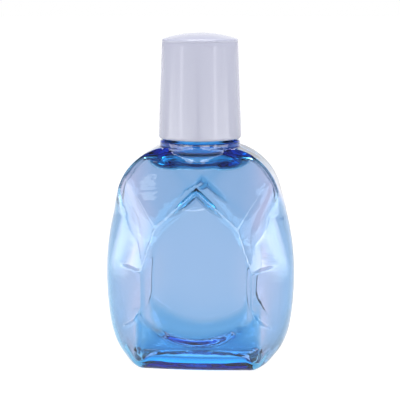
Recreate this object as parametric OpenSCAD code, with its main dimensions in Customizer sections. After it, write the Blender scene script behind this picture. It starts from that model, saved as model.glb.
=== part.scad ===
// Small dropper bottle for contact lens solution: a clear faceted bottle, a press-fit dropper nozzle,
// and a two-piece screw cap with a soft seal in it.
// +Z is up, the front faces -Y, and the origin is at the centre of the base.

/* [Body] */
// Width of the body at its widest
body_w = 34.2; // [33:0.1:36]
// Depth of the body between its front and back panels
body_d = 17; // [16:0.1:18]
// Thickness of the body's wall
wall = 0.7; // [0.5:0.05:0.9]
// Thickness of the floor
floor_t = 1.1; // [0.8:0.1:1.4]
// Height of the hollow under the base
push_up = 1.2; // [0.6:0.1:1.6]

/* [Neck] */
// Radius of the bead that the cap comes down to
collar_r = 7.07; // [6.9:0.01:7.3]
// Radius of the neck's outer wall, at the root of its thread
neck_r = 4.85; // [4.75:0.05:4.9]
// Radius of the neck's bore
bore_r = 4; // [3.9:0.05:4.1]
// Height of the neck's top face
neck_top = 50; // [49.8:0.1:50.2]

/* [Thread] */
// How far the cap rises in one turn
lead = 5; // [4.5:0.1:5.5]
// Number of starts
starts = 2; // [1:1:2]
// Turns of each thread
thread_turns = 1; // [0.75:0.05:1.1]
// How far a thread stands out of its wall
thread_h = 0.55; // [0.4:0.05:0.55]

/* [Cap] */
// Outer radius of the cap at its lower edge
cap_r = 7.4; // [7.3:0.05:7.8]
// Outer radius of the cap at its upper edge
cap_top_r = 6.7; // [6.6:0.05:7]
// Height of the cap's lower edge
cap_bottom = 41.2; // [41.15:0.05:41.5]
// Height of the top of the cap's dome
cap_top = 60; // [59.8:0.1:60.5]
// Thickness of the outer cap's wall
shell_t = 0.8; // [0.7:0.05:0.85]

/* [Hidden] */
$fn = 96;

half_w = body_w / 2;
half_d = body_d / 2;
reach = 120;

// Heights of the body
shoulder_z = 39.6;
widest_z = 16.5;
root_z = 37.8;

// Front outline: the body's side swells in a long arc above its widest point and a longer one below it
upper_arc_r = 43;
lower_arc_r = 54;
shoulder_arc_r = 10.4;
shoulder_arc_x = half_w - 13.1;
shoulder_arc_z = 29.5;
shoulder_start_z = 34;
foot_half_w = half_w - 3.7;
foot_lean = 24;
push_up_r = 5.2;

// Plan outline: flat panels, slanted sides and rounded ends
panel_x = 9.8;
side_r = 6.5;
side_angle = 35;

// The belly is a large sphere, which leaves the panel's round lower edge where it meets the panel
belly_r = 49.9;
belly_z = 17.9;
belly_proud = 1.4;
belly_y = belly_r - half_d - belly_proud;

// Corners of the front facets on the right: x, y and z
apex = [0, -half_d, 32.5];
panel_kink = [7.25, -half_d, 25.8];
panel_side = [9.8, -half_d, 18.2];
panel_foot = [9.85, -half_d, 11];
shoulder_peak = [12.1, 3 - half_d, 33.6];
ridge_top = [4, 1.65 - half_d, 36.9];
foot_corner = [15, 3.6 - half_d, 6.9];
base_corner = [12, 2.9 - half_d, 0];
middle = [0, 0, 20];

// Corners of the two shallow dents beside the panel, just proud of the side, and how deep they are
upper_dent = [[10.3, -8.35, 17.9], [10.6, -7.75, 23.2], [15.7, -4.5, 19.2]];
lower_dent = [[10.2, -8.45, 11.4], [10.3, -8.35, 17.2], [13.4, -6.3, 15.6], [14.7, -5.3, 7.6]];
dent_depth = 0.75;
dent_clear = 2;

// Neck
groove_r = 6.5;
groove_top = 39.3;
collar_top = 41;
collar_edge = 0.35;
shoulder_bore_r = 5.7;

// Thread
thread_z = 43.2;
thread_root_w = 1.25;
thread_crest_w = 0.65;
thread_steps = 32;
thread_bite = 0.15;
cap_bore_r = neck_r + thread_h + 0.2;

// Nozzle
flange_r = 4.8;
flange_t = 0.9;
skirt_z = 44.5;
skirt_bore_r = 3.3;
bead_h = 0.04;
tip_top = neck_top + 5.6;
orifice_r = 0.25;

// Cap inside
plate_z = neck_top + 7;
plate_t = 0.8;
seal_r = 2.85;
seal_gap = 0.05;
seal_t = 1.2;
dome_rise = 1.5;
edge_round = 0.9;

function unit(v) = v / norm(v);
function thread_point(r, turn, z) = [r * cos(turn * 360), r * sin(turn * 360), z + turn * lead];
function taper(z) = cap_r + (cap_top_r - cap_r) * (z - cap_bottom) / (cap_top - dome_rise - cap_bottom);
function arc(x, z, r, from, to, n) = [for (i = [0:n]) let (a = from + (to - from) * i / n)
    [x + r * cos(a), z + r * sin(a)]];

// Repeats its children at the right and left, and at the front and back
module four_ways() {
    for (side = [0, 1], face = [0, 1])
        mirror([side, 0, 0])
            mirror([0, face, 0])
                children();
}

// Everything outside the plane through three points, with the plane moved inwards by inset
module beyond(p, q, r, inset) {
    n = unit(cross(q - p, r - p));
    out = n * (p - middle) > 0 ? n : -n;
    translate(p - out * inset)
        rotate([0, acos(out[2]), atan2(out[1], out[0])])
            translate([-reach / 2, -reach / 2, 0])
                cube(reach);
}

module front_outline(inset) {
    intersection_for(side = [-1, 1])
        union() {
            intersection() {
                translate([side * (upper_arc_r - half_w), widest_z])
                    circle(upper_arc_r - inset, $fn = 180);
                translate([-reach / 2, widest_z])
                    square(reach);
            }
            intersection() {
                translate([side * (lower_arc_r - half_w), widest_z])
                    circle(lower_arc_r - inset, $fn = 180);
                translate([-reach / 2, widest_z - reach])
                    square(reach);
            }
        }
}

module shoulder_outline(inset) {
    union() {
        for (side = [-1, 1])
            translate([side * shoulder_arc_x, shoulder_arc_z])
                circle(shoulder_arc_r - inset, $fn = 120);
        translate([-reach / 2, -reach])
            square([reach, reach + shoulder_start_z]);
        translate([-shoulder_arc_x, -reach])
            square([2 * shoulder_arc_x, reach + shoulder_z]);
    }
}

module plan_outline(inset) {
    end_r = side_r - inset;
    end_x = half_w - side_r;
    corner_x = panel_x - inset * tan(side_angle / 2);
    tangent_x = end_x + end_r * sin(side_angle);
    tangent_y = end_r * cos(side_angle);
    union() {
        for (side = [-1, 1])
            translate([side * end_x, 0])
                circle(end_r);
        for (side = [0, 1])
            mirror([side, 0])
                polygon([
                    [0, inset - half_d],
                    [corner_x, inset - half_d],
                    [tangent_x, -tangent_y],
                    [tangent_x, tangent_y],
                    [corner_x, half_d - inset],
                    [0, half_d - inset]
                ]);
    }
}

// The lower part of the body, rounded by the belly spheres, under plain space for the upper part
module belly(inset) {
    intersection_for(face = [-1, 1])
        union() {
            translate([0, face * belly_y, belly_z])
                sphere(belly_r - inset, $fn = 180);
            translate([-reach / 2, -reach / 2, belly_z])
                cube(reach);
        }
}

// Shallow hollow, deepest at the middle of its corners, which run clockwise as seen from outside
module dent(corners, inset) {
    count = len(corners);
    centre = [for (k = [0:2]) [for (c = corners) c[k]] * [for (c = corners) 1] / count];
    out = unit(cross(corners[2] - corners[0], corners[1] - corners[0]));
    points = concat(corners, [centre - out * dent_depth, centre + out * dent_clear]);
    outer = [for (i = [0:count - 1]) [i, (i + 1) % count, count + 1]];
    inner = [for (i = [0:count - 1]) [(i + 1) % count, i, count]];
    translate(-out * inset)
        polyhedron(points, concat(outer, inner));
}

module body_form(inset) {
    difference() {
        intersection() {
            rotate([90, 0, 0])
                linear_extrude(reach, center = true)
                    front_outline(inset);
            rotate([90, 0, 0])
                linear_extrude(reach, center = true)
                    shoulder_outline(inset);
            linear_extrude(shoulder_z - inset)
                plan_outline(inset);
            belly(inset);
        }
        four_ways() {
            beyond(apex, panel_kink, shoulder_peak, inset);
            beyond(panel_kink, panel_side, shoulder_peak, inset);
            beyond(apex, ridge_top, [-ridge_top[0], ridge_top[1], ridge_top[2]], inset);
            beyond(panel_foot, foot_corner, base_corner, inset);
            beyond([foot_half_w, 0, 0], [foot_half_w, 1, 0],
                [foot_half_w + tan(foot_lean), 0, 1], inset);
            dent(upper_dent, inset);
            dent(lower_dent, inset);
        }
    }
}

// Ball whose cap stands out of the plane z = 0 by rise, over a circle of the given radius
module dome(r, rise) {
    ball_r = (r * r + rise * rise) / (2 * rise);
    translate([0, 0, rise - ball_r])
        sphere(ball_r, $fn = 120);
}

// One start of a thread: its section swept up the helix, running out at both ends
module thread(root, crest, z) {
    count = round(thread_turns * thread_steps);
    sections = [for (i = [0:count])
        let (turn = thread_turns * i / count,
             fade = min(1, 0.15 + 5 * min(i, count - i) / thread_steps),
             top = root + (crest - root) * fade)
        each [
            thread_point(root, turn, z - thread_root_w / 2),
            thread_point(top, turn, z - thread_crest_w / 2),
            thread_point(top, turn, z + thread_crest_w / 2),
            thread_point(root, turn, z + thread_root_w / 2)
        ]];
    outwards = crest > root;
    sides = [for (i = [0:count - 1], k = [0:3])
        let (a = 4 * i + k, b = 4 * i + (k + 1) % 4)
        each [[a, b, b + 4], [a, b + 4, a + 4]]];
    ends = [[3, 2, 1, 0], [4 * count, 4 * count + 1, 4 * count + 2, 4 * count + 3]];
    faces = concat(sides, ends);
    polyhedron(sections, outwards ? faces : [for (f = faces) [for (j = [len(f) - 1:-1:0]) f[j]]]);
}

module threads(root, crest, z) {
    for (start = [0:starts - 1])
        rotate([0, 0, start * 360 / starts])
            thread(root, crest, z);
}

module bottle() {
    color([0.36, 0.65, 0.92, 0.5])
        difference() {
            union() {
                body_form(0);
                rotate_extrude()
                    polygon([
                        [0, root_z - 1],
                        [groove_r, root_z - 1],
                        [groove_r, groove_top],
                        [collar_r, groove_top + collar_edge],
                        [collar_r, collar_top - collar_edge],
                        [collar_r - collar_edge, collar_top],
                        [neck_r, collar_top],
                        [neck_r, neck_top],
                        [0, neck_top]
                    ]);
                threads(neck_r - thread_bite, neck_r + thread_h, thread_z);
            }
            difference() {
                body_form(wall);
                translate([0, 0, floor_t - reach])
                    linear_extrude(reach)
                        square(reach, center = true);
                translate([0, 0, floor_t])
                    dome(push_up_r + floor_t, push_up);
            }
            dome(push_up_r, push_up);
            rotate_extrude()
                polygon([
                    [0, root_z - 1.2],
                    [shoulder_bore_r, root_z - 1.2],
                    [shoulder_bore_r, root_z],
                    [bore_r, collar_top],
                    [bore_r, neck_top + 1],
                    [0, neck_top + 1]
                ]);
        }
}

module dropper_nozzle() {
    color([0.93, 0.94, 0.96])
        rotate_extrude()
            polygon([
                [skirt_bore_r, skirt_z],
                [bore_r - 0.3, skirt_z],
                [bore_r - 0.03, skirt_z + 0.6],
                [bore_r - 0.03, skirt_z + 1.2],
                [bore_r + bead_h, skirt_z + 1.5],
                [bore_r - 0.03, skirt_z + 1.8],
                [bore_r - 0.03, skirt_z + 3.2],
                [bore_r + bead_h, skirt_z + 3.5],
                [bore_r - 0.03, skirt_z + 3.8],
                [bore_r - 0.03, neck_top],
                [flange_r, neck_top],
                [flange_r, neck_top + flange_t - 0.2],
                [flange_r - 0.2, neck_top + flange_t],
                [3.6, neck_top + flange_t],
                [3.1, neck_top + flange_t + 0.3],
                [1.75, tip_top - 0.7],
                [1.6, tip_top - 0.2],
                [1.35, tip_top],
                [1, tip_top],
                [orifice_r, tip_top - 1],
                [orifice_r, tip_top - 1.6],
                [0.9, tip_top - 2.4],
                [1.3, neck_top + flange_t],
                [skirt_bore_r, neck_top - 0.9]
            ]);
}

module tip_seal() {
    seal_top = plate_z - seal_gap;
    color([0.88, 0.9, 0.94])
        rotate_extrude()
            polygon([
                [0, tip_top - 0.45],
                [0.3, tip_top - 0.4],
                [0.75, tip_top + 0.1],
                [2, tip_top + 0.1],
                [2.2, seal_top - seal_t],
                [seal_r - 0.1, seal_top - seal_t],
                [seal_r, seal_top - seal_t + 0.1],
                [seal_r, seal_top - 0.1],
                [seal_r - 0.1, seal_top],
                [0, seal_top]
            ]);
}

module inner_cap() {
    seat_r = seal_r + seal_gap;
    lip_z = plate_z - seal_gap - seal_t - 0.1;
    color([0.92, 0.93, 0.96])
        union() {
            rotate_extrude()
                polygon([
                    [cap_bore_r, cap_bottom + 0.4],
                    [taper(cap_bottom + 0.4) - shell_t, cap_bottom + 0.4],
                    [taper(plate_z + plate_t) - shell_t, plate_z + plate_t],
                    [0, plate_z + plate_t],
                    [0, plate_z],
                    [seat_r, plate_z],
                    [seat_r, lip_z],
                    [seat_r - 0.15, lip_z - 0.15],
                    [seat_r + 0.1, lip_z - 0.5],
                    [seat_r + 0.6, lip_z - 0.5],
                    [seat_r + 0.8, plate_z],
                    [4.85, plate_z],
                    [5.2, neck_top + 1.2],
                    [cap_bore_r, neck_top + 0.2]
                ]);
            threads(cap_bore_r + thread_bite / 2, cap_bore_r - thread_h, thread_z - lead / starts / 2);
        }
}

module cap_shell() {
    edge_z = cap_top - dome_rise;
    edge_x = cap_top_r - edge_round;
    lip = arc(cap_r - 0.3, cap_bottom + 0.3, 0.3, -90, 0, 4);
    rounding = arc(edge_x, edge_z - edge_round / 2, edge_round, 0, 70, 8);
    crown_start = rounding[8];
    crown = [for (i = [1:10]) let (x = crown_start[0] * (1 - i / 10))
        [x, crown_start[1] + (cap_top - crown_start[1]) * (1 - pow(x / crown_start[0], 2))]];
    color([0.9, 0.9, 0.95])
        rotate_extrude()
            polygon(concat(
                [[taper(cap_bottom) - shell_t, cap_bottom]],
                lip,
                rounding,
                crown,
                [
                    [0, plate_z + plate_t + 0.6],
                    [3, plate_z + plate_t + 0.5],
                    [4.6, plate_z + plate_t],
                    [taper(plate_z + plate_t) - shell_t, plate_z + plate_t]
                ]
            ));
}

bottle();
dropper_nozzle();
tip_seal();
inner_cap();
cap_shell();
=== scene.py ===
import math

import bpy
import numpy as np
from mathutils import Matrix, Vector


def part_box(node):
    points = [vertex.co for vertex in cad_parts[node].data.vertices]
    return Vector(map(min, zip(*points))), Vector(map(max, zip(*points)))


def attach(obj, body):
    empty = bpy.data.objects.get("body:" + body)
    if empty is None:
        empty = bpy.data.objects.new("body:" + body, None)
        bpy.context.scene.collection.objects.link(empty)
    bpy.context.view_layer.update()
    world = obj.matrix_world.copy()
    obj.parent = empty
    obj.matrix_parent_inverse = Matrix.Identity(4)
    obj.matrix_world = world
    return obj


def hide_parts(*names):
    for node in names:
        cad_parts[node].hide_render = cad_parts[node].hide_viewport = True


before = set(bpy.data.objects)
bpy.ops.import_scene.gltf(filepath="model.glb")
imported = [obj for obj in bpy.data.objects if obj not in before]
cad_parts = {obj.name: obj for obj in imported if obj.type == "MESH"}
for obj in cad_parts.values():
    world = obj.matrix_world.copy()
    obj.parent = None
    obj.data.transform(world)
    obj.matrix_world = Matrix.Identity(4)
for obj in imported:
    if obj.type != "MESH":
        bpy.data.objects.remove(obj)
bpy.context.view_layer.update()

# Sizes from the CAD, in millimetres. The shape functions work in millimetres too, and make_piece turns
# their points into metres. The camera, the lights and the floor are in metres.
MM = 0.001
bottle_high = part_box("bottle")[1]
cap_low, cap_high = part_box("cap_shell")
HALF_W = bottle_high.x / MM
HALF_D = bottle_high.y / MM
CAP_BOTTOM = cap_low.z / MM
CAP_TOP = cap_high.z / MM
CAP_R = cap_high.x / MM


# ---------------------------------------------------------------- camera, lights and floor

CAMERA_ANGLE = 5
CAMERA_DISTANCE = 0.258
CAMERA_HEIGHT = 0.0667
CAMERA_AIM_HEIGHT = 0.02995
LIGHT_DISTANCE = 0.4
LIGHT_AIM_HEIGHT = 0.03
FLOOR_GLOW = 0.98
BESIDE_GLOW = 3.5
UNDER_GLOW = 1.4


def round_the_bottle(angle, distance, height):
    """A place on a circle round the bottle, at an angle from the front towards the right."""
    angle = math.radians(angle)
    return (distance * math.sin(angle), -distance * math.cos(angle), height)


def make_camera():
    """A long lens in front of the bottle, a little to the right and above."""
    data = bpy.data.cameras.new("camera")
    data.lens = 130.0
    data.sensor_width = 36
    data.clip_start = 0.01
    camera = bpy.data.objects.new("camera", data)
    bpy.context.collection.objects.link(camera)
    camera.location = round_the_bottle(CAMERA_ANGLE, CAMERA_DISTANCE, CAMERA_HEIGHT)
    aim = Vector((0, 0, CAMERA_AIM_HEIGHT)) - camera.location
    camera.rotation_euler = aim.to_track_quat("-Z", "Y").to_euler()
    bpy.context.scene.camera = camera


def make_light(name, place, size, radiance, colour=(1, 1, 1)):
    """A rectangular soft light, aimed at the middle of the bottle and unseen by the camera."""
    data = bpy.data.lights.new(name, "AREA")
    data.shape = "RECTANGLE"
    data.size, data.size_y = size
    data.energy = radiance * math.pi * size[0] * size[1]
    data.color = colour
    light = bpy.data.objects.new(name, data)
    bpy.context.collection.objects.link(light)
    light.location = place
    aim = Vector((0, 0, LIGHT_AIM_HEIGHT)) - light.location
    light.rotation_euler = aim.to_track_quat("-Z", "Y").to_euler()
    light.visible_camera = False
    return light


def make_room_lights():
    """Tall strips for the cap's bands, and one light above."""
    for name, angle in (("strip_left", -50), ("strip_right", 49)):
        place = round_the_bottle(angle, LIGHT_DISTANCE, 0.12)
        make_light(name, place, (0.05, 0.26), 3.0, (0.96, 0.95, 1))
    make_light("overhead", (0, 0, 0.45), (0.3, 0.3), 9.0)


def make_ridge_lights():
    """Soft panels for the glints on the bottle's ridges, and a small light for one on its shoulder."""
    lights = []
    for name, angle in (("panel_left", -29), ("panel_right", 19)):
        place = round_the_bottle(angle, LIGHT_DISTANCE, 0.065)
        lights.append(make_light(name, place, (0.19, 0.12), 4.0, (0.97, 0.96, 1)))
    glint = make_light("glint_left", round_the_bottle(-33.9, 0.392, 0.154), (0.007, 0.011), 1.8)
    glint.data.shape = "ELLIPSE"
    return lights + [glint]


def light_only(piece, lights):
    """Keep some lights off everything but one piece."""
    receivers = bpy.data.collections.new("lit_by_ridge_lights")
    receivers.objects.link(piece)
    for light in lights:
        light.light_linking.receiver_collection = receivers


def make_world():
    """Plain studio surroundings: a white sweep behind the bottle, and a dimmer lavender room elsewhere."""
    world = bpy.data.worlds.new("studio")
    bpy.context.scene.world = world
    world.use_nodes = True
    nodes, links = world.node_tree.nodes, world.node_tree.links
    place = nodes.new("ShaderNodeTexCoord")
    split = nodes.new("ShaderNodeSeparateXYZ")
    links.new(place.outputs["Generated"], split.inputs[0])
    sweep = nodes.new("ShaderNodeMapRange")
    sweep.inputs["From Min"].default_value = 0.80
    sweep.inputs["From Max"].default_value = 0.93
    links.new(split.outputs["Y"], sweep.inputs["Value"])
    room = nodes.new("ShaderNodeMix")
    room.data_type = "RGBA"
    room.inputs["A"].default_value = (0.38, 0.37, 0.45, 1)
    room.inputs["B"].default_value = (1, 1, 1, 1)
    links.new(sweep.outputs["Result"], room.inputs["Factor"])
    links.new(room.outputs["Result"], nodes["Background"].inputs["Color"])


def make_floor():
    """A plain white light table, brighter under the bottle, and to each side of it except behind."""
    bpy.ops.mesh.primitive_plane_add(size=8, location=(0, 0, 0))
    floor = bpy.context.object
    floor.name = "floor"
    material, nodes, links, shader = new_material("floor_paint")

    def math_node(kind, a, b=None, clamp=False):
        """One step of arithmetic on sockets or numbers. Its result is a socket."""
        node = nodes.new("ShaderNodeMath")
        node.operation = kind
        node.use_clamp = clamp
        for socket, value in zip(node.inputs, (a, b)):
            if isinstance(value, bpy.types.NodeSocket):
                links.new(value, socket)
            elif value is not None:
                socket.default_value = value
        return node.outputs[0]

    def more_than(value, limit, slope):
        """0 up to the limit, rising by slope in each metre past it, as far as 1."""
        return math_node("MULTIPLY", math_node("SUBTRACT", value, limit), slope, True)

    def less_than(value, limit, slope):
        """0 from the limit up, rising by slope in each metre below it, as far as 1."""
        return math_node("MULTIPLY", math_node("SUBTRACT", limit, value), slope, True)

    place = nodes.new("ShaderNodeNewGeometry")
    split = nodes.new("ShaderNodeSeparateXYZ")
    links.new(place.outputs["Position"], split.inputs[0])
    aside = math_node("ABSOLUTE", split.outputs["X"])
    along = math_node("ABSOLUTE", split.outputs["Y"])
    beside = math_node("MULTIPLY", more_than(aside, 0.09, 20), less_than(split.outputs["Y"], 0.07, 20))
    under = math_node("MULTIPLY", less_than(aside, 0.01, 300), less_than(along, 0.0065, 400))
    beside_glow = math_node("MULTIPLY", beside, BESIDE_GLOW)
    under_glow = math_node("MULTIPLY", under, UNDER_GLOW)
    glow = math_node("ADD", math_node("ADD", beside_glow, under_glow), FLOOR_GLOW)
    links.new(glow, shader.inputs["Emission Strength"])
    shader.inputs["Emission Color"].default_value = (1, 1, 1, 1)
    shader.inputs["Base Color"].default_value = (0.10, 0.10, 0.10, 1)
    shader.inputs["Roughness"].default_value = 0.7
    floor.data.materials.append(material)


# ---------------------------------------------------------------- the bottle's sizes

# Front outline: an arc above the widest point, another below it, then a round shoulder and a slanted foot
WIDEST_Z = 16.5
UPPER_ARC_R = 43
LOWER_ARC_R = 54
SHOULDER_START_Z = 34.0
SHOULDER_ARC_R = 10.4
SHOULDER_ARC_X = HALF_W - 13.1
SHOULDER_ARC_Z = 29.5
FOOT_LEAN = math.radians(24)
FOOT_HALF_W = HALF_W - 3.7
HEEL_HALF_W = HALF_W - 5.6
OUTLINE_ROUND = 0.25
ROUNDING_LOSS = 0.29      # what the rounding of edges takes off the width, and the outline gives back

# Corners of the facets on the front right: x, y and z
APEX = np.array([0, -HALF_D, 32.5])
PANEL_KINK = np.array([7.25, -HALF_D, 25.8])
PANEL_SIDE = np.array([9.8, -HALF_D, 18.2])
PANEL_FOOT = np.array([9.85, -HALF_D, 11.0])
SHOULDER_PEAK = np.array([12.1, 3 - HALF_D, 33.6])
RIDGE_TOP = np.array([4, 1.98 - HALF_D, 36.9])
FOOT_CORNER = np.array([15, 3.6 - HALF_D, 6.9])
BASE_CORNER = np.array([12, 2.9 - HALF_D, 0])
DENT_TOP = np.array([10.6, 0.98 - HALF_D, 23.2])
DENT_END = np.array([15.6, 4.05 - HALF_D, 19.2])
DENT_PIT = np.array([12.2, 2.1 - HALF_D, 18.9])
MIDDLE = np.array([0, 0, 20.0])

# The panel's round lower end, the swell below it, and the slant of the sides
PANEL_ROUND_R = 11.7
PANEL_ROUND_Z = 17.9
BELLY_R = 70.0
SIDE_ANGLE = math.radians(35)

# The lower dent: a leaning floor that gets shallower upwards, a steep step at the panel's edge, and a round
# lower end with its centre at DENT_ROUND_X and DENT_ROUND_Z
DENT_STEP = 0.6
DENT_LEAN = math.radians(30)
DENT_SHALLOWER = 0.05
DENT_MIDDLE_Z = 12.5
DENT_ROUND_R = 5.6
DENT_ROUND_X = 15.3
DENT_ROUND_Z = 13.1

# The hollow at the panel's tip: where it starts, how fast it deepens, and how far in from the edge it stays
RECESS_START_Z = 27
RECESS_CURVE = 0.016
RECESS_GAP = 0.3

# Rounding of ridges and sides, outside and inside
OUTER_RIDGE_K = 0.045
OUTER_SIDE_K = 1.6
INNER_RIDGE_K = 0.25
INNER_SIDE_K = 2.0

# Wall at the panel, how much thinner it is at the sides, and how much thicker it is at its thick places
WALL_T = 0.47
SIDES_THINNER = 0.35
NECK_ROOT_THICKER = 1.2
FOOT_THICKER = 0.9
TIP_THICKER = 0.8

# Corner where the wall meets the base, outside and inside. Inside it is rounder in the middle of the width.
BASE_ROUND = 1.2
INNER_ROUND = 1.0
INNER_ROUND_MORE = 1.5

# Floor's thickness in the middle and at the corners, and the underside's hollow with its boss
FLOOR_T = 1.3
FLOOR_RIM = 0.25
PUSH_UP_H = 1.15
BOSS_H = 0.35

# Neck and thread. Each profile is a list of (height, radius).
THREAD_LEAD = 5.0
THREAD_STARTS = 2
THREAD_Z = 43.2
THREAD_H = 0.55
THREAD_HALF_W = 0.62
NECK_TOP = 50.0
NECK_OUTSIDE = [
    (36, 6.5), (38.2, 6.5), (38.5, 6.56), (38.75, 6.75), (38.95, 7.0), (39.3, 7.13), (39.9, 7.18),
    (40.7, 7.14), (40.93, 7.0), (41.0, 6.75), (41.05, 5.1), (41.25, 4.9), (41.5, 4.85), (49.5, 4.85),
    (49.85, 4.8), (NECK_TOP, 4.6)]
NECK_INSIDE = [
    (34, 4), (36.5, 4.9), (38, 5.0), (39, 5.0), (40.1, 4.9), (40.7, 4.6), (41.1, 4.2), (41.6, 4.0),
    (49.7, 4.0), (NECK_TOP, 4.15)]


# ---------------------------------------------------------------- the bottle's form

def smooth_step(t):
    """0 up to t = 0, 1 from t = 1, and an S-curve between them."""
    t = np.clip(t, 0, 1)
    return t * t * (3 - 2 * t)


def ramp(value, start, width):
    """0 up to start, rising smoothly to 1 at start + width."""
    return smooth_step((value - start) / width)


def soft_min(distances, k):
    """Smooth minimum: k is how far, in mm, an edge is rounded off."""
    least = np.minimum.reduce(distances)
    return least - k * np.log(sum(np.exp((least - d) / k) for d in distances))


def soft_max(distances, k):
    """Smooth maximum."""
    return -soft_min([-d for d in distances], k)


def profile(z, points):
    """The second number of each point, at height z between their first numbers."""
    return np.interp(z, [p[0] for p in points], [p[1] for p in points])


def facet(a, b, c):
    """Outward unit normal and distance from the origin of the plane through three points."""
    n = np.cross(b - a, c - a)
    n = n / np.linalg.norm(n)
    if n @ (a - MIDDLE) < 0:
        n = -n
    return n, n @ a


def inside(plane, x, y, z):
    """How far inside a plane a point is."""
    n, d = plane
    return d - (n[0] * x + n[1] * y + n[2] * z)


PANEL = (np.array([0, -1, 0]), HALF_D)
UPPER_SLANTS = [facet(APEX, PANEL_KINK, SHOULDER_PEAK), facet(PANEL_KINK, PANEL_SIDE, SHOULDER_PEAK)]
FOOT_SLANT = facet(PANEL_FOOT, FOOT_CORNER, BASE_CORNER)
BROW = facet(APEX, RIDGE_TOP, RIDGE_TOP * (-1, 1, 1))


def half_width(z):
    """Half the body's width at a height, before its edges are rounded."""
    upper = HALF_W - UPPER_ARC_R + np.sqrt(UPPER_ARC_R ** 2 - (z - WIDEST_Z) ** 2)
    lower = HALF_W - LOWER_ARC_R + np.sqrt(LOWER_ARC_R ** 2 - (z - WIDEST_Z) ** 2)
    shoulder = SHOULDER_ARC_X + np.sqrt(np.maximum(SHOULDER_ARC_R ** 2 - (z - SHOULDER_ARC_Z) ** 2, 0))
    foot = np.minimum(FOOT_HALF_W + math.tan(FOOT_LEAN) * z, HEEL_HALF_W + z)
    side = np.where(z > SHOULDER_START_Z, shoulder, np.where(z > WIDEST_Z, upper, lower))
    return np.minimum(side, foot)


def outline_distance(ax, z):
    """How far inside the front outline a point is."""
    upper = UPPER_ARC_R - np.hypot(ax + UPPER_ARC_R - HALF_W, z - WIDEST_Z)
    lower = LOWER_ARC_R - np.hypot(ax + LOWER_ARC_R - HALF_W, z - WIDEST_Z)
    shoulder = SHOULDER_ARC_R - np.hypot(np.maximum(ax - SHOULDER_ARC_X, 0), z - SHOULDER_ARC_Z)
    foot = (FOOT_HALF_W + math.tan(FOOT_LEAN) * z - ax) * math.cos(FOOT_LEAN)
    side = np.where(z > SHOULDER_START_Z, shoulder, np.where(z > WIDEST_Z, upper, lower))
    heel = (HEEL_HALF_W + z - ax) * math.sqrt(0.5)
    return soft_min([side, foot, heel], OUTLINE_ROUND) + ROUNDING_LOSS


def upper_dent(ax, fy, z, k):
    """How far inside the three-sided dent beside the panel a point is. Its sides meet at its pit."""
    corners = (PANEL_SIDE, DENT_TOP, DENT_END)
    sides = []
    for i in range(3):
        n, d = facet(corners[i], corners[(i + 1) % 3], DENT_PIT)
        if n @ sum(corners) / 3 > d:
            n, d = -n, -d
        sides.append(inside((n, d), ax, fy, z))
    return soft_min(sides, k)


def lower_dent(ax, fy, z, k):
    """How far inside the long dent below the upper one a point is. It has a step at the panel's edge."""
    floor_d = PANEL_FOOT[0] * math.sin(DENT_LEAN) + (HALF_D - DENT_STEP) * math.cos(DENT_LEAN)
    floor = math.sin(DENT_LEAN) * ax - math.cos(DENT_LEAN) * fy - floor_d
    floor = floor - DENT_SHALLOWER * (z - DENT_MIDDLE_Z)
    step = (ax - PANEL_FOOT[0]) * 0.9
    rounded_end = DENT_ROUND_R - np.hypot(ax - DENT_ROUND_X, np.minimum(z - DENT_ROUND_Z, 0))
    top = (PANEL_SIDE[2] - 0.2 - z) * 0.7
    return soft_min([floor, step, rounded_end, top], k)


def below_tip_edge(ax, z):
    """How far a point is below the slanted edge that runs from the panel's tip to its kink."""
    rise, run = APEX[2] - PANEL_KINK[2], PANEL_KINK[0]
    return (rise * (run - ax) + run * (PANEL_KINK[2] - z)) / math.hypot(rise, run)


def tip_recess(ax, fy, z, k):
    """How far inside the hollow at the panel's tip a point is. It is deepest at the tip."""
    above = z - RECESS_START_Z
    floor = -fy - HALF_D + RECESS_CURVE * above * abs(above)
    return soft_min([floor, (below_tip_edge(ax, z) - RECESS_GAP) * 0.7], k)


def body_distance(x, y, z, k, side_k):
    """How far inside the faceted body a point is, with its ridges rounded by k and its sides by side_k."""
    ax, fy = abs(x), -abs(y)
    planes = [inside(plane, ax, fy, z) for plane in (PANEL, FOOT_SLANT, BROW)]
    planes.append(soft_min([inside(plane, ax, fy, z) for plane in UPPER_SLANTS], k / 2))
    belly_y = math.sqrt(BELLY_R ** 2 - PANEL_ROUND_R ** 2) - HALF_D
    belly = BELLY_R - np.sqrt(x * x + (belly_y - fy) ** 2 + np.minimum(z - PANEL_ROUND_Z, 0) ** 2)
    side_d = PANEL_SIDE[0] * math.sin(SIDE_ANGLE) + HALF_D * math.cos(SIDE_ANGLE)
    side = side_d - math.sin(SIDE_ANGLE) * ax + math.cos(SIDE_ANGLE) * fy
    round_k = side_k * np.clip((SHOULDER_START_Z - z) / 6, 0.15, 1)
    ends = soft_min([side, outline_distance(ax, z)], round_k)
    form = soft_min(planes + [belly, ends], k)
    dents = np.maximum(upper_dent(ax, fy, z, k), lower_dent(ax, fy, z, k))
    form = soft_min([form, -dents], k)
    return soft_min([form, -tip_recess(ax, fy, z, k)], min(k, 0.06))


def thread_height(angle, z):
    """How far the thread stands out of the neck's wall."""
    turn = angle / math.tau
    height = np.zeros(z.shape)
    for start in range(THREAD_STARTS):
        for lap in (-1, 0, 1, 2):
            along = turn - start / THREAD_STARTS + lap
            ends = smooth_step(np.minimum(along, 1 - along) * 8)
            flank = smooth_step((THREAD_HALF_W - abs(z - THREAD_Z - along * THREAD_LEAD)) / 0.3)
            height = np.maximum(height, THREAD_H * ends * flank)
    return height


def turned_in(r, below):
    """How far in a corner of radius r has turned, at a point that is below the place where it starts."""
    return r - np.sqrt(np.maximum(r ** 2 - np.clip(below, 0, r) ** 2, 0))


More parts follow.
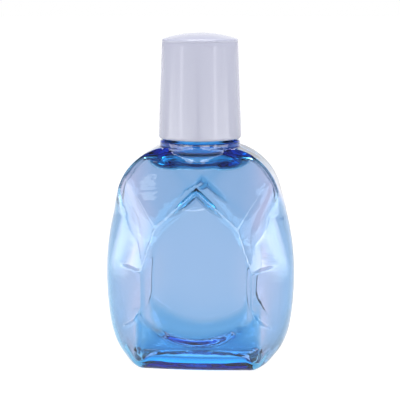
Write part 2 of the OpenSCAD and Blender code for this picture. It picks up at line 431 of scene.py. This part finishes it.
def body_then_neck(body, neck, z, neck_start, body_end, k):
    """Only the body below neck_start, only the neck above body_end, and both joined between them."""
    return np.where(z < neck_start, body, np.where(z > body_end, neck, soft_max([body, neck], k)))


def outer_distance(x, y, z):
    """How far inside the bottle's outer surface a point is."""
    body = body_distance(x, y, z, OUTER_RIDGE_K, OUTER_SIDE_K) - turned_in(BASE_ROUND, BASE_ROUND - z)
    neck = profile(z, NECK_OUTSIDE) - np.hypot(x, y)
    neck = neck + thread_height(np.arctan2(y, x), z)
    return body_then_neck(body, neck, z, 36, 39.9, 0.12)


def middle_share(x):
    """1 in the middle of the body's width, falling to 0 by its corners."""
    return 1 - ramp(abs(x), 7.5, 4)


def wall_thickness(x, y, z):
    """Thin at the sides, and thick round the neck's root, at the panel's tip and above the foot."""
    sides = ramp(abs(x), 5 + 2 * ramp(z, 26, 6), 7.5)
    neck_root = ramp(z, 36, 2) * (1 - ramp(np.hypot(x, y), 7.5, 2.5))
    from_round_centre = np.hypot(x, np.minimum(z - PANEL_ROUND_Z, 0))
    foot = ramp(from_round_centre, PANEL_ROUND_R, 1.6) * middle_share(x) * (z < PANEL_ROUND_Z)
    from_tip_edge = abs(below_tip_edge(abs(x), z) - 0.2)
    tip = (1 - ramp(from_tip_edge, 0, 0.75)) * ramp(z, 28, 2.5)
    wall = WALL_T - SIDES_THINNER * sides
    return wall + NECK_ROOT_THICKER * neck_root + FOOT_THICKER * foot + TIP_THICKER * tip


def floor_lift(x):
    """How much thicker the floor is at x than at the corners."""
    return (FLOOR_T - FLOOR_RIM) * middle_share(x)


def inner_distance(x, y, z):
    """How far inside the bottle's hollow a point is."""
    body = body_distance(x, y, z, INNER_RIDGE_K, INNER_SIDE_K) - wall_thickness(x, y, z)
    turn_r = INNER_ROUND + INNER_ROUND_MORE * middle_share(x)
    body = body - turned_in(turn_r, turn_r + FLOOR_RIM + floor_lift(x) - z)
    bore = profile(z, NECK_INSIDE) - np.hypot(x, y)
    return body_then_neck(body, bore, z, 34, 40.5, 0.4)


def underside(share):
    """Height of the base's underside: a flat foot rim, then a shallow hollow with a small boss in it."""
    hollow = PUSH_UP_H * smooth_step((0.9 - share) / 0.7)
    return hollow - BOSS_H * smooth_step((0.2 - share) / 0.08)


def floor_top(share, x):
    """Height of the floor inside: thin in the corners and thick in the middle."""
    return FLOOR_RIM + floor_lift(x) + underside(share) * 0.8


# ---------------------------------------------------------------- the bottle's mesh

# Where the rings' columns cross each height, so that they follow the ridges: height and x
PANEL_TRACK = [
    (0, 9.2), (6, 9.6), (PANEL_FOOT[2], PANEL_FOOT[0]), (PANEL_SIDE[2], PANEL_SIDE[0]),
    (PANEL_KINK[2], PANEL_KINK[0]), (APEX[2] - 0.2, 0.25), (APEX[2] + 0.2, 0.25),
    (RIDGE_TOP[2], RIDGE_TOP[0]), (39.2, 4.3)]
RIDGE_TRACK = [
    (BASE_CORNER[2], BASE_CORNER[0]), (FOOT_CORNER[2], FOOT_CORNER[0]), (11, 12.8), (17.6, 12.6),
    (DENT_END[2], DENT_END[0]), (DENT_TOP[2], DENT_TOP[0]), (PANEL_KINK[2], PANEL_KINK[0] + 0.5),
    (SHOULDER_PEAK[2], SHOULDER_PEAK[0]), (38.5, 6.5)]

# Points in a quarter ring: across the panel, on to the ridge, on to the side, and round the side
OUTER_COUNTS = (20, 20, 16, 24)
INNER_COUNTS = (10, 10, 8, 12)

# The fan of rays at each side: how far inside the outline it starts, outside and inside, and its depth
OUTER_EDGE = 1.2
INNER_EDGE = 3.6
FAN_DEPTH = 4.2

# How far a wall's lowest ring is above the base or floor, and the height of the closely spaced rings there
LOWEST_RING = 0.002
CLOSE_RINGS_H = 1.3


def spread(count):
    """Shares from 0 up to 1, closer together at both ends."""
    return (1 - np.cos(np.arange(count) / count * math.pi)) / 2


def ring_rays(z, counts, edge, polar):
    """Start x and direction of each ray of the rings at heights z, for a quarter of a turn from -Y to +X."""
    end = half_width(z) - edge
    panel = np.minimum(profile(z, PANEL_TRACK), end - 0.6)
    ridge = np.clip(profile(z, RIDGE_TRACK), panel + 0.3, end - 0.3)
    starts = [np.zeros_like(z), panel, ridge]
    stops = [panel, ridge, end]
    x = [a[:, None] + (b - a)[:, None] * spread(n) for a, b, n in zip(starts, stops, counts)]
    x.append(end[:, None] + np.zeros(counts[3] + 1))
    x = np.concatenate(x, 1)
    front = x.shape[1] - counts[3] - 1
    fan = np.concatenate([np.zeros(front), np.linspace(0, math.pi / 2, counts[3] + 1)])
    dx = edge * np.sin(fan) + 0 * x
    dy = -FAN_DEPTH * np.cos(fan) + 0 * x
    length = np.hypot(dx, dy)
    turn = np.linspace(0, math.pi / 2, x.shape[1])
    share = polar(z)[:, None]
    x = x * (1 - share)
    dx = dx / length * (1 - share) + np.sin(turn) * share
    dy = dy / length * (1 - share) - np.cos(turn) * share
    length = np.hypot(dx, dy)
    return x, dx / length, dy / length


def whole_turn(x, dx, dy):
    """The quarter's rays mirrored into a whole turn, anticlockwise from -Y."""
    def join(v, sx, sy):
        """Mirror the quarter across the X axis with sign sy, then the half across the Y axis with sx."""
        half = np.concatenate([v, sy * v[:, -2::-1]], 1)
        return np.concatenate([half, sx * half[:, -2:0:-1]], 1)
    return join(x, -1, 1), join(dx, -1, 1), join(dy, 1, -1)


def find_rings(distance, heights, counts, edge, polar, lift=None):
    """
    For each height, the ring of points where distance crosses zero along the rays. At the sides the rays fan
    out from points that are edge inside the outline, and where polar is 1 they all fan out from the axis.
    lift raises the lowest rings, by less the higher they are.
    """
    z = np.array(heights, dtype=float)
    x, dx, dy = whole_turn(*ring_rays(z, counts, edge, polar))
    z = z[:, None] + np.zeros_like(x)
    if lift:
        z = z + lift(x) * np.clip(1 - (z - heights[0]) / 7, 0, 1)
    near, far = np.zeros_like(z), np.full_like(z, 20.0)
    for _ in range(24):
        t = (near + far) / 2
        keep = distance(x + t * dx, t * dy, z) > 0
        near, far = np.where(keep, t, near), np.where(keep, far, t)
    t = (near + far) / 2
    return np.stack([x + t * dx, t * dy, z], 2)


def steps(*stretches):
    """Heights from (from, to, spacing) stretches."""
    out = []
    for low, high, spacing in stretches:
        count = max(1, round((high - low) / spacing))
        out += list(low + (high - low) * np.arange(count) / count)
    return out + [stretches[-1][1]]


def base_rings(edge, base_height, count):
    """Rings from a ring's edge in to its middle, at the heights that base_height gives for a share and x."""
    rings = []
    for i in range(1, count):
        share = 1 - i / count
        ring = edge * (share, share, 0)
        ring[:, 2] = base_height(share, ring[:, 0])
        rings.append(ring)
    return rings


def outside_rings():
    """Rings from the middle of the base out to its edge, then up to the neck's lip."""
    z = [CLOSE_RINGS_H * (i / 9) ** 2 + LOWEST_RING for i in range(9)]
    z += steps((CLOSE_RINGS_H, 17.5, 0.3), (17.5, 18.5, 0.12), (18.5, 36.4, 0.3), (36.4, 41.6, 0.13),
        (41.6, NECK_TOP, 0.25))
    wall = find_rings(outer_distance, z, OUTER_COUNTS, OUTER_EDGE, lambda z: ramp(z, 39.7, 1.2))
    return base_rings(wall[0], lambda share, x: underside(share), 22)[::-1] + list(wall)


def inside_rings():
    """Rings from the neck's lip down to the floor's edge, then in to the middle of the floor."""
    z = [FLOOR_RIM + LOWEST_RING + CLOSE_RINGS_H * (i / 8) ** 2 for i in range(8)]
    z += steps((FLOOR_RIM + CLOSE_RINGS_H, 36, 0.4), (36, 41, 0.25), (41, NECK_TOP, 0.9))
    wall = find_rings(inner_distance, z, INNER_COUNTS, INNER_EDGE, lambda z: ramp(z, 33, 4), floor_lift)
    return list(wall[::-1]) + base_rings(wall[0], floor_top, 18)


def band(low, high, count):
    """Quads between two rings of count points each."""
    return [(low + j, low + (j + 1) % count, high + (j + 1) % count, high + j) for j in range(count)]


def lip_band(outer, inner, count):
    """Triangles between the lip's outer ring and its inner ring, which has count points, half as many."""
    faces = []
    for j in range(count):
        a, b, c = outer + 2 * j, outer + 2 * j + 1, outer + (2 * j + 2) % (2 * count)
        d, e = inner + j, inner + (j + 1) % count
        faces += [(a, b, d), (b, c, e), (b, e, d)]
    return faces


def make_bottle():
    """One closed mesh: up the outside from the base, over the neck's lip, and down inside to the floor."""
    outer, inner = outside_rings(), inside_rings()
    many, few = len(outer[0]), len(inner[0])
    vertices = [(0, 0, float(underside(0.0)))]
    vertices += [tuple(p) for ring in outer + inner for p in ring]
    vertices.append((0, 0, float(floor_top(0.0, 0.0))))
    last = len(vertices) - 1
    faces = [(0, 1 + (j + 1) % many, 1 + j) for j in range(many)]
    start = 1
    for _ in outer[1:]:
        faces += band(start, start + many, many)
        start += many
    faces += lip_band(start, start + many, few)
    start += many
    for _ in inner[1:]:
        faces += band(start, start + few, few)
        start += few
    faces += [(start + j, start + (j + 1) % few, last) for j in range(few)]
    return make_piece("bottle_form", vertices, faces)


def make_piece(name, vertices, faces):
    """A smooth-shaded object from points in millimetres."""
    mesh = bpy.data.meshes.new(name)
    mesh.from_pydata([(x * MM, y * MM, z * MM) for x, y, z in vertices], [], faces)
    mesh.polygons.foreach_set("use_smooth", [True] * len(mesh.polygons))
    mesh.update()
    piece = bpy.data.objects.new(name, mesh)
    bpy.context.collection.objects.link(piece)
    return piece


# ---------------------------------------------------------------- the cap's outer shell, which is turned

CAP_TOP_R = 6.8
CAP_RIM_Z = CAP_TOP - 1.5
CAP_RIM_ROUND = 0.5
CAP_LIP_ROUND = 0.5
CAP_SHELL_T = 0.8
CAP_GROOVE = 0.06
DOME_POWER = 2.1
DIMPLE_R = 1.65
DIMPLE_DEPTH = 0.05


def make_turned(name, points, segments):
    """A solid of revolution from a closed loop of (radius, height) points, where radius 0 is on the axis."""
    vertices, faces, rings = [], [], []
    angles = [math.tau * i / segments for i in range(segments)]
    for r, z in points:
        if r == 0:
            rings.append([len(vertices)] * segments)
            vertices.append((0, 0, z))
        else:
            rings.append([len(vertices) + i for i in range(segments)])
            vertices += [(r * math.cos(a), r * math.sin(a), z) for a in angles]
    for low, high in zip(rings, rings[1:] + rings[:1]):
        for i in range(segments):
            j = (i + 1) % segments
            corners = list(dict.fromkeys([low[i], low[j], high[j], high[i]]))
            if len(corners) > 2:
                faces.append(corners)
    return make_piece(name, vertices, faces)


def arc_points(x, z, r, start, end, count):
    """Points on an arc about (x, z), between two angles in degrees."""
    angles = [math.radians(start + (end - start) * i / count) for i in range(count + 1)]
    return [(x + r * math.cos(a), z + r * math.sin(a)) for a in angles]


def cap_dome(start_r, start_z, count):
    """Points from the rim in to the axis, over a low dome with a shallow dimple in its middle."""
    dome = []
    for i in range(1, count + 1):
        r = start_r * (1 - i / count)
        dimple = DIMPLE_DEPTH * smooth_step((DIMPLE_R - r) / 0.3)
        dome.append((r, start_z + (CAP_TOP - start_z) * (1 - (r / start_r) ** DOME_POWER) - float(dimple)))
    return dome


def make_cap_shell():
    """The tapered outer cap: rounded lip, straight side, fine groove, small rounded rim and domed top."""
    inner_z = CAP_RIM_Z - 0.4
    side_z = CAP_RIM_Z - 0.2
    lip_z = CAP_BOTTOM + CAP_LIP_ROUND
    shares = [i / 24 for i in range(25)]
    side = [(CAP_R + (CAP_TOP_R - CAP_R) * share, lip_z + (side_z - lip_z) * share) for share in shares]
    groove = [(CAP_TOP_R - CAP_GROOVE, side_z + 0.05), (CAP_TOP_R - CAP_GROOVE, side_z + 0.12)]
    rim = arc_points(CAP_TOP_R - CAP_RIM_ROUND, CAP_RIM_Z, CAP_RIM_ROUND, 0, 72, 8)
    dome = cap_dome(*rim[-1], 40)
    ceiling_middle = (0, inner_z + 0.1)
    inside_wall = [
        (3.0, inner_z), (4.6, inner_z - 0.7), (CAP_TOP_R - CAP_SHELL_T, inner_z - 0.72),
        (CAP_R - CAP_SHELL_T, CAP_BOTTOM + 0.3), (CAP_R - CAP_SHELL_T + 0.15, CAP_BOTTOM)]
    lip = arc_points(CAP_R - CAP_LIP_ROUND, lip_z, CAP_LIP_ROUND, -90, -10, 8)
    points = inside_wall + lip + side + groove + rim + dome + [ceiling_middle]
    return make_turned("cap_cover", points, 192)


# ---------------------------------------------------------------- materials

def new_material(name):
    """A new material, its nodes and links, and its shader."""
    material = bpy.data.materials.new(name)
    material.use_nodes = True
    nodes, links = material.node_tree.nodes, material.node_tree.links
    return material, nodes, links, nodes["Principled BSDF"]


def add_noise(nodes, links, scale, stretch=(1, 1, 1)):
    """Noise fixed to the piece, with about scale features in a metre."""
    place = nodes.new("ShaderNodeTexCoord")
    mapping = nodes.new("ShaderNodeMapping")
    noise = nodes.new("ShaderNodeTexNoise")
    mapping.inputs["Scale"].default_value = stretch
    noise.inputs["Scale"].default_value = scale
    noise.inputs["Detail"].default_value = 3
    links.new(place.outputs["Object"], mapping.inputs["Vector"])
    links.new(mapping.outputs["Vector"], noise.inputs["Vector"])
    return noise.outputs["Fac"]


def vary(nodes, links, source, socket, low, high):
    """Drive a number on the shader from noise, between low and high."""
    spread_out = nodes.new("ShaderNodeMapRange")
    spread_out.inputs["From Min"].default_value = 0.3
    spread_out.inputs["From Max"].default_value = 0.7
    spread_out.inputs["To Min"].default_value = low
    spread_out.inputs["To Max"].default_value = high
    links.new(source, spread_out.inputs["Value"])
    links.new(spread_out.outputs["Result"], socket)


def add_bump(nodes, links, source, shader, depth):
    """Make noise stand out by depth, in metres."""
    bump = nodes.new("ShaderNodeBump")
    bump.inputs["Strength"].default_value = 1
    bump.inputs["Distance"].default_value = depth
    links.new(source, bump.inputs["Height"])
    links.new(bump.outputs["Normal"], shader.inputs["Normal"])


def mottle(nodes, links, source, shader, dark, light):
    """Base colour between two close tones."""
    tones = nodes.new("ShaderNodeMix")
    tones.data_type = "RGBA"
    tones.inputs["A"].default_value = (*dark, 1)
    tones.inputs["B"].default_value = (*light, 1)
    links.new(source, tones.inputs["Factor"])
    links.new(tones.outputs["Result"], shader.inputs["Base Color"])


def clear_plastic():
    """Clear blue plastic, tinted at its surface and through its thickness, and wavy from blow moulding."""
    material, nodes, links, shader = new_material("clear_blue_plastic")
    shader.inputs["Base Color"].default_value = (0.85, 0.735, 0.84, 1)
    shader.inputs["Transmission Weight"].default_value = 1
    shader.inputs["IOR"].default_value = 1.57
    vary(nodes, links, add_noise(nodes, links, 900), shader.inputs["Roughness"], 0.01, 0.035)
    add_bump(nodes, links, add_noise(nodes, links, 260, (0.6, 1, 2.2)), shader, 0.00002)
    absorption = nodes.new("ShaderNodeVolumeAbsorption")
    absorption.inputs["Color"].default_value = (0.0, 0.74, 0.94, 1)
    absorption.inputs["Density"].default_value = 1100
    links.new(absorption.outputs[0], nodes["Material Output"].inputs["Volume"])
    return material


def moulded_plastic(name, dark, light, roughness, specular, grain):
    """Opaque moulded plastic: slight mottling, and a fine grain that changes its gloss and its surface."""
    material, nodes, links, shader = new_material(name)
    mottle(nodes, links, add_noise(nodes, links, 180), shader, dark, light)
    fine = add_noise(nodes, links, 2400)
    vary(nodes, links, fine, shader.inputs["Roughness"], roughness - 0.04, roughness + 0.04)
    add_bump(nodes, links, fine, shader, grain)
    shader.inputs["Specular IOR Level"].default_value = specular
    return material


# The CAD pieces that are kept, and their plastics: dark tone, light tone, roughness, specular and grain
INNER_PLASTICS = {
    "inner_cap": ("inner_cap_plastic", (0.62, 0.63, 0.67), (0.66, 0.67, 0.71), 0.34, 0.5, 0.000003),
    "tip_seal": ("seal_plastic", (0.50, 0.53, 0.60), (0.55, 0.58, 0.65), 0.5, 0.4, 0.000005),
    "dropper_nozzle": ("nozzle_plastic", (0.70, 0.72, 0.76), (0.76, 0.78, 0.82), 0.4, 0.5, 0.000004),
}
# The cap's plastic is white. Its two tones here are a darker lavender grey, which is painted shade standing
# in for the dim light on the cap's front, not the plastic's own colour.
CAP_PLASTIC_PAINTED_SHADE = ("cap_plastic", (0.362, 0.374, 0.446), (0.382, 0.392, 0.462), 0.16, 0.5, 0.000002)


# ---------------------------------------------------------------- the scene

make_camera()
make_world()
make_floor()
make_room_lights()
ridge_lights = make_ridge_lights()

bottle = make_bottle()
light_only(bottle, ridge_lights)
bottle.data.materials.append(clear_plastic())
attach(bottle, "bottle")
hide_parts("bottle")

cap_cover = make_cap_shell()
cap_cover.data.materials.append(moulded_plastic(*CAP_PLASTIC_PAINTED_SHADE))
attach(cap_cover, "cap")
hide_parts("cap_shell")

for name, plastic in INNER_PLASTICS.items():
    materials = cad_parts[name].data.materials
    materials.clear()
    materials.append(moulded_plastic(*plastic))

bpy.context.scene.view_settings.view_transform = "Standard"
